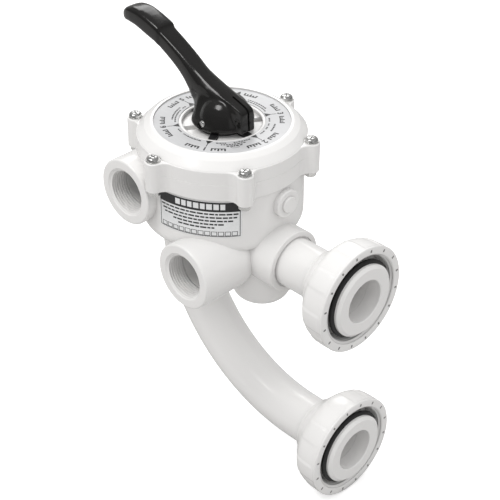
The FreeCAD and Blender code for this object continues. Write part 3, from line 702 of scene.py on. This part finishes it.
def dial_numbers():
    bm = bmesh.new()
    for k in range(POSITIONS):
        azimuth = POSITION_STEP * (k - 1)
        x, y = polar(59.9, azimuth)
        figure = numeral(str(k + 1), "number_%d" % (k + 1), x, y, DIAL_TOP + 0.02,
                         turn=azimuth - 90.0, size=8.4)
        bm.from_mesh(figure)
        bpy.data.meshes.remove(figure)
    bmesh.ops.remove_doubles(bm, verts=bm.verts, dist=1e-6)
    data = bpy.data.meshes.new("dial_numbers")
    bm.to_mesh(data)
    bm.free()
    ob = bpy.data.objects.new("dial_numbers", data)
    scene.collection.objects.link(ob)
    dress(ob, "print_black", BODY, slot="dial_foil")


put_print("dial_print", dial_print(), "print_black", "dial_foil")
dial_numbers()

# ------------------------------------------------------------------ label print on the barrel
LABEL_RADIUS = 84.37
LABEL_START, LABEL_END = -90.6, -30.6  # degrees about the spindle
LABEL_LOW, LABEL_TOP = 35.0, 75.6
HEADER_LOW = 64.4
BORDER = 0.7
MM_ARC = 1.0 / (math.radians(1.0) * LABEL_RADIUS)  # degrees taken by 1 mm round the barrel
LINE_TOP, LINE_STEP, LINE_HALF = 61.6, 3.9, 0.85
LINE_INSETS = ((2.2, 2.2), (3.4, 3.2), (5.0, 5.4), (12.0, 12.0), (16.0, 18.0))  # degrees
# Sides of a small frame: start and end in degrees, low and high in mm
FRAME_SIDES = ((0, 4.0, 0, 0.5), (0, 4.0, 4.4, 4.9), (0, 0.4, 0.5, 4.4), (3.6, 4.0, 0.5, 4.4))


def label_box(start, end, low, high, sink=-0.04, rise=0.07):
    """A curved patch between two offsets from the label's radius."""
    return [stacked(*[[(*polar(LABEL_RADIUS + offset, degrees), z)
                       for degrees, z in rectangle(s, e, low, high)] for offset in (sink, rise)])
            for s, e in spans(start, end)]


def label_print():
    border_low = LABEL_LOW + 0.8
    border_top = LABEL_LOW + 1.5
    parts = label_box(LABEL_START + 0.9, LABEL_END - 0.9, border_low, border_top)
    parts += label_box(LABEL_START + 0.6, LABEL_END - 0.6, HEADER_LOW, LABEL_TOP - 0.5)
    for start in (LABEL_START + 0.9, LABEL_END - 0.9 - BORDER * MM_ARC):
        parts += label_box(start, start + BORDER * MM_ARC, border_top, HEADER_LOW)
    for line, (start_inset, end_inset) in enumerate(LINE_INSETS):
        z = LINE_TOP - LINE_STEP * line
        limit = LABEL_END - end_inset
        words = dashes(LABEL_START + start_inset, limit, limit, (2.6, 6.4), 1.0, unit=MM_ARC)
        for s, e in words:
            parts += label_box(s, e, z - LINE_HALF, z + LINE_HALF)
    # a row of small empty frames along the bottom
    for i in range(12):
        start = LABEL_START + 2.6 + i * 4.6
        for x0, x1, z0, z1 in FRAME_SIDES:
            parts += label_box(start + x0, start + x1, 36.8 + z0, 36.8 + z1)
    return parts


def header_bars():
    """Pale bars inside the header, in place of its heading."""
    bars = dashes(LABEL_START + 14.0, LABEL_END - 14.0, math.inf, (4.2, 5.8), 1.5, unit=MM_ARC)
    parts = []
    for s, e in bars:
        parts += label_box(s, e, 66.9, 73.2, sink=0.03, rise=0.13)
    return parts


put_print("label_print", label_print(), "print_black", "label_film")
put_print("label_header_bars", header_bars(), "label_film", "label_film")

# ------------------------------------------------------------------ handle
# Lever outlines: (x, z) of its upper and lower edges, (x, half width)
LEVER_TOP = [
    (-141.2, 190.5), (-140.6, 194.0), (-138.5, 197.4), (-134.5, 200.8), (-129, 203.4),
    (-122, 204.8), (-113, 204.8), (-102, 202.6), (-92, 199.6), (-84.5, 197.2), (-81.9, 196.0),
    (-81.2, 194.0), (-79.8, 192.6), (-76, 190.8), (-68, 187.2), (-58, 182.4), (-48, 177.4),
    (-38, 172.0), (-28, 167.0), (-19, 163.0), (-8, 159.0), (5, 155.2), (14, 152.2), (22, 149.8),
    (30, 147.4), (35.5, 145.2), (37.2, 142.0),
]
LEVER_LOW = [
    (-141.2, 189.4), (-139.5, 187.2), (-136, 186.0), (-128, 186.8), (-115.6, 185.6),
    (-100.4, 180.8), (-88.2, 177.6), (-77.8, 172.6), (-63.1, 164.2), (-55, 158.4),
    (-48.5, 153.0), (-43, 147.0), (-38.5, 141.0), (-35, 135.0), (-31.6, 129.0), (-20, 126.0),
    (37.2, 126.0),
]
LEVER_HALF = [
    (-141.2, 4.0), (-140, 6.8), (-136.5, 9.2), (-131.5, 11.0), (-125, 12.0), (-112, 12.4),
    (-92, 12.4), (-84, 12.3), (-81.9, 12.2), (-81.2, 11.6), (-79.8, 11.0), (-74, 10.8),
    (-50, 11.0), (-36, 11.8), (-24, 12.8), (-12, 13.4), (4, 13.0), (20, 12.0), (31, 10.8),
    (37.2, 8.6),
]
LEVER_STATIONS = [
    -141.2, -140.8, -140.2, -139.4, -138.5, -137, -134.5, -131.5, -128, -124, -118, -112, -105,
    -98, -92, -88, -85, -83, -81.9, -81.2, -80.4, -79.6, -78, -75, -70, -64, -58, -52, -47, -43,
    -40, -37, -34, -31, -27, -22, -16, -9, -2, 6, 14, 20, 25, 30, 34, 36, 37.2,
]
CHEEK_STATIONS = [
    -30.6, -30.0, -28.8, -27.0, -24.0, -20.0, -16.0, -12.0, -8.0, -4.0, 0.0, 3.0, 6.0, 9.0,
    12.0, 15.0, 18.0,
]
# Hub profiles, (radius, z), and the heel outline, (x, z)
BAND = [(0, 120.3), (30.3, 120.3), (31.0, 121.0), (31.0, 123.4), (30.2, 124.8), (27.0, 126.4),
        (0, 126.4)]
LOBE = [(0, 122.0), (28.6, 122.0), (27.6, 126.5), (25.6, 132.0), (23.2, 137.5), (20.0, 142.6),
        (15.8, 146.6), (10.2, 149.2), (0, 150.4)]
HEEL = [(4, 121.2), (38.2, 121.2), (37.4, 134.0), (36.4, 142.6), (34.0, 145.4), (24.0, 148.6),
        (4, 153.0)]


def at(table, x):
    return float(np.interp(x, [p[0] for p in table], [p[1] for p in table]))


def lofted(verts, rings, size):
    return verts, lattice(rings, size, wrap=False) + end_caps(rings, size)


def lever(around=40):
    """The lever, lofted through superellipse sections."""
    verts = []
    for x in LEVER_STATIONS:
        top, low, half = at(LEVER_TOP, x), at(LEVER_LOW, x), at(LEVER_HALF, x)
        if x < -134:
            top = max(top, low + 1.6)
        middle, half_height = (top + low) / 2, (top - low) / 2
        squareness = 4.2 if x < -80 else 5.5 - 2.9 * clamp((x + 78.0) / 50.0)
        power = 2 / squareness
        for k in range(around):
            ca, sa = math.cos(TAU * k / around), math.sin(TAU * k / around)
            y = half * math.copysign(abs(ca) ** power, ca)
            z = half_height * math.copysign(abs(sa) ** power, sa)
            verts.append((x, y, middle + z))
    return lofted(verts, len(LEVER_STATIONS), around)


def cheeks(rows=22, reach=30.7, foot_z=122.4):
    """Flanks that sweep from the lever's shoulders out to the band."""
    verts = []
    for x in CHEEK_STATIONS:
        half = max(3.0, at(LEVER_HALF, x) - 1.5)
        wide = max(math.sqrt(max(0.0, reach ** 2 - x * x)), half)
        top = at(LEVER_TOP, x) - 5.2
        if x < -20:
            top = min(top, at(LEVER_LOW, x) + 26.0)
        flank = []
        for i in range(rows + 1):
            t = i / rows
            y = half + (wide - half) * (0.18 * t + 0.82 * t ** 2.0)
            flank.append((y, top + (foot_z - top) * t))
        verts += [(x, -y, z) for y, z in flank] + [(x, y, z) for y, z in reversed(flank)]
    return lofted(verts, len(CHEEK_STATIONS), 2 * (rows + 1))


def counterbore(side):
    """A pocket at one end of the hinge pin. side is its sign in Y."""
    verts, faces = turned([(0, 0.0), (4.25, 0.0), (4.25, 12.0), (0, 12.0)], 40)
    return [(x, side * (23.5 + z), HINGE_Z + y) for x, y, z in verts], faces


def cam_relief(tilt=28.0, rise=6.0, run=30.0, steps=8):
    """The space under the lever, bounded by a cam curve about the hinge.

    The cam's reach from the hinge grows by rise (mm) through tilt (degrees), then the edge
    runs on straight for run (mm).
    """
    rate = rise / math.radians(tilt)
    drop = HINGE_Z - 120.05
    curve = []
    for i in range(steps + 1):
        angle = math.radians(tilt * i / steps)
        reach = drop + rate * angle
        ca, sa = math.cos(angle), math.sin(angle)
        curve.append((-reach * sa - rate * ca, -reach * ca + rate * sa))
    x, z = curve[-1]
    along, up = polar(run, tilt)
    curve += [(x - along, z + up), (x - along, -30.0), (curve[0][0], -30.0)]
    return prism([(x, HINGE_Z + z) for x, z in curve], -60, 60)


def handle():
    """Lever and hub merged into one moulded skin, then cut."""
    ob = solid("handle_skin", [lever(), turned(BAND, 128), turned(LOBE, 96, x0=5.0), cheeks(),
                               prism(HEEL, -9.6, 8.2)])
    skin = ob.modifiers.new("skin", "REMESH")
    skin.mode = "VOXEL"
    skin.voxel_size = 0.00085
    skin.use_smooth_shade = True
    bake(ob)
    ease = ob.modifiers.new("ease", "SMOOTH")
    ease.factor = 0.5
    ease.iterations = 16
    bake(ob)
    # a narrow slot open at the heel, then the pocket for the stem
    carve(ob, "slot_cut", [box((15.0, 60.0), (-1.15, 1.15), (110.0, 170.0))])
    carve(ob, "stem_cut", [box((-15.5, 15.5), (-10.4, 10.4), (110.0, 139.2))])
    for side in (-1, 1):
        carve(ob, "pin_cut", [counterbore(side)])
    carve(ob, "cam_cut", [cam_relief()])
    dress(ob, "black_gloss", "handle", angle=42.0, replaces="handle")


handle()

# ------------------------------------------------------------------ cam plate
CAM_DISC = [(11.4, 115.7), (25.2, 115.7), (25.7, 116.2), (25.7, 119.3), (25.3, 119.8),
            (24.1, 119.95), (24.1, 118.8), (11.4, 118.8)]  # radius, z
CAM_TAB = [(24.6, -3.95), (38.6, -3.6), (39.6, -2.6), (39.6, 2.6), (38.6, 3.6), (24.6, 3.95)]


def cam_plate():
    """A disc under the hub, with tabs reaching out into the slots."""
    parts = [turned_ring(CAM_DISC, 96)]
    upper = [(x - 0.5, y * 0.9) for x, y in CAM_TAB]
    for degrees in (0.0, 120.0, 180.0, 300.0):
        levels = ((CAM_TAB, 111.4), (CAM_TAB, 118.3), (upper, 118.8))
        rings = [at_height(spun(ring, math.radians(degrees)), z) for ring, z in levels]
        parts.append(stacked(*rings))
    dress(solid("cam_plate_skin", parts), "black_plastic", BODY, angle=32.0, replaces="cam_plate")


cam_plate()

# ------------------------------------------------------------------ bead between slots and dial
WELL_BEAD = [(40.35, 118.0), (40.35, 119.1), (40.8, 119.5), (43.2, 119.5), (43.7, 119.2),
             (43.7, 118.0)]  # radius, z
dress(solid("well_bead", [turned_ring(WELL_BEAD, 144)]), "white_body", BODY, angle=50.0)

# ------------------------------------------------------------------ hinge pin along Y
PIN = [(0, -28.6), (2.2, -28.4), (3.4, -27.9), (3.93, -27.2),
       (3.93, 27.2), (3.4, 27.9), (2.2, 28.4), (0, 28.6)]  # radius, y


def hinge_pin():
    verts, faces = turned(PIN, 48)
    verts = [(x, z, HINGE_Z + y) for x, y, z in verts]
    dress(solid("hinge_pin", [(verts, faces)]), "stainless", "rotor", angle=40.0,
          replaces="handle_pin")


hinge_pin()

# ------------------------------------------------------------------ lid screws
SCREW_COUNT = 6
SCREW_CIRCLE = 92.0
SCREW_CENTRES = [polar(SCREW_CIRCLE, 30.0 + 60.0 * k) for k in range(SCREW_COUNT)]
SCREW_SEAT = 110.0
# Profiles, (radius, z): the head above its seat, and the shank
SCREW_HEAD = [(3.1, 1.2), (6.5, 1.2), (6.7, 1.5), (6.55, 2.6), (6.0, 3.7), (4.9, 4.55), (3.0, 5.0)]
SCREW_SHANK = [(0, 73.3), (2.2, 73.3), (3.0, 74.1), (3.0, 111.5), (0, 111.5)]


def recess_arm(k, quarter):
    """One tapered bar of the cross recess in screw k."""
    cx, cy = SCREW_CENTRES[k]
    angle = math.radians(20.0 + 17.0 * k) + quarter
    rings = []
    for half_length, half_width, z in ((1.5, 0.4, 112.4), (3.4, 0.62, 115.6)):
        bar = rectangle(-half_length, half_length, -half_width, half_width)
        rings.append([(cx + x, cy + y, z) for x, y in spun(bar, angle)])
    return stacked(*rings)


def lid_screws():
    """Pan heads with a soft cross recess, on pointed shanks."""
    head = [(r, z + SCREW_SEAT) for r, z in SCREW_HEAD]
    parts = []
    for cx, cy in SCREW_CENTRES:
        parts += [turned(head, 48, cx, cy), turned(SCREW_SHANK, 24, cx, cy)]
    ob = solid("lid_screw_set", parts)
    for quarter in (0.0, math.pi / 2):
        carve(ob, "recess", [recess_arm(k, quarter) for k in range(SCREW_COUNT)])
    dress(ob, "stainless", BODY, angle=32.0, replaces="lid_screws")


lid_screws()

# ------------------------------------------------------------------ floor (metres)


def floor_look():
    """Near-white and slightly glowing to the camera, a duller grey to every other ray."""
    look = Look("floor")
    cloud = look.noise(scale=3.0, detail=2.0)
    look.surface({
        "Base Color": look.ramp(cloud, (0.3, (0.90, 0.90, 0.90)), (0.7, (0.92, 0.92, 0.92))),
        "Roughness": 0.7,
        "Specular IOR Level": 0.1,
        "Emission Color": (1, 1, 1, 1),
        "Emission Strength": 0.42,
    })
    path = look.node("LightPath", {})
    dull = look.node("BsdfDiffuse", {"Color": (0.52, 0.515, 0.51, 1)})
    mix = look.node("MixShader", {"Fac": path.outputs["Is Camera Ray"],
                                  1: dull.outputs["BSDF"], 2: look.bsdf.outputs["BSDF"]})
    wire(look.tree, look.tree.nodes["Material Output"], {"Surface": mix.outputs["Shader"]})


def floor(near=-3.2, far=2.6, curve=0.9, wall_top=3.2, half_width=3.6):
    """A floor that curves up into a wall on the side away from the camera."""
    data = bpy.data.meshes.new("floor")
    bends = [math.radians(9 * i) for i in range(1, 10)]
    profile = [(near, 0.0), (far - curve, 0.0)]  # distance away from the camera, height
    profile += [(far - curve + curve * math.sin(t), curve - curve * math.cos(t)) for t in bends]
    profile += [(far, 0.95), (far, wall_top)]
    away = Vector((-0.709, 0.705, 0.0))
    side = Vector((0.705, 0.709, 0.0))
    centre = Vector((-0.12, 0.0, cad_box[0][2] - 0.0004))
    verts = [tuple(centre + away * distance + side * width + Vector((0, 0, height)))
             for distance, height in profile for width in (-half_width, half_width)]
    faces = [(2 * i, 2 * i + 1, 2 * i + 3, 2 * i + 2) for i in range(len(profile) - 1)]
    data.from_pydata(verts, [], faces)
    ob = bpy.data.objects.new("floor", data)
    scene.collection.objects.link(ob)
    data.polygons.foreach_set("use_smooth", [True] * len(data.polygons))
    floor_look()
    data.materials.append(LOOKS["floor"])


floor()

# ------------------------------------------------------------------ lights (metres, watts)
LIGHT_TARGET = Vector((-0.16, 0.0, 0.02))


def area_light(name, power, size, location, colour=(1, 1, 1)):
    """A rectangular light of size (x, y) aimed at the valve."""
    light = bpy.data.lights.new(name, "AREA")
    light.energy = power
    light.color = colour
    light.shape = "RECTANGLE"
    light.size, light.size_y = size
    ob = bpy.data.objects.new(name, light)
    scene.collection.objects.link(ob)
    ob.location = location
    ob.rotation_euler = (LIGHT_TARGET - Vector(location)).to_track_quat("-Z", "Y").to_euler()


area_light("key", power=10.4, size=(0.75, 0.55), location=(-0.50, -0.95, 1.70),
           colour=(1.0, 0.995, 0.985))
area_light("fill", power=0.9, size=(1.0, 0.9), location=(1.35, -0.35, 0.75))
area_light("back", power=6.0, size=(0.8, 0.8), location=(-1.35, 1.0, 1.15))


def studio_world():
    """White to the camera; brighter overhead for diffuse light than for reflections."""
    world = bpy.data.worlds.new("studio")
    scene.world = world
    world.use_nodes = True
    tree = world.node_tree
    tree.nodes.clear()
    path = add_node(tree, "LightPath", {})
    coord = add_node(tree, "TexCoord", {})
    split = add_node(tree, "SeparateXYZ", {"Vector": coord.outputs["Generated"]})

    def rising(low_z, high_z, low, high):
        """A strength that grows with the height of the direction looked in."""
        limits = {"From Min": low_z, "From Max": high_z, "To Min": low, "To Max": high}
        ramp = add_node(tree, "MapRange", {**limits, "Value": split.outputs["Z"]})
        return ramp.outputs["Result"]

    def background(strength):
        inputs = {"Color": (1, 1, 1, 1), "Strength": strength}
        return add_node(tree, "Background", inputs).outputs["Background"]

    def choose(ray, other, chosen):
        inputs = {"Fac": path.outputs[ray], 1: other, 2: chosen}
        return add_node(tree, "MixShader", inputs).outputs["Shader"]

    glossy_strength = rising(low_z=-0.2, high_z=0.9, low=0.10, high=0.34)
    diffuse = background(rising(low_z=-0.3, high_z=0.85, low=0.31, high=1.14))
    glossy = background(glossy_strength)
    backdrop = background(1.0)
    shader = choose("Is Glossy Ray", diffuse, glossy)
    shader = choose("Is Camera Ray", shader, backdrop)
    add_node(tree, "OutputWorld", {"Surface": shader})


studio_world()

view = scene.view_settings
view.view_transform = "Standard"
view.look = "None"
view.exposure = 0.0
view.gamma = 1.0

# ------------------------------------------------------------------ camera
CAMERA_PLACE = (875.96, -829.18, 777.71)  # mm about the spindle


def camera():
    data = bpy.data.cameras.new("camera")
    ob = bpy.data.objects.new("camera", data)
    scene.collection.objects.link(ob)
    forward = Vector((-0.58812, 0.58403, -0.55948)).normalized()
    right = Vector((0.70086, 0.71325, 0.00781)).normalized()
    up = right.cross(forward).normalized()
    right = forward.cross(up).normalized()  # square to the other two
    turn = Matrix((right, up, -forward)).transposed().to_4x4()
    x, y, z = CAMERA_PLACE
    ob.matrix_world = Matrix.Translation(((x + SPINDLE_X) * MM, y * MM, z * MM)) @ turn
    data.sensor_width = 36.0
    data.lens = 98.64
    data.clip_start = 0.05
    data.clip_end = 20.0
    scene.camera = ob


camera()
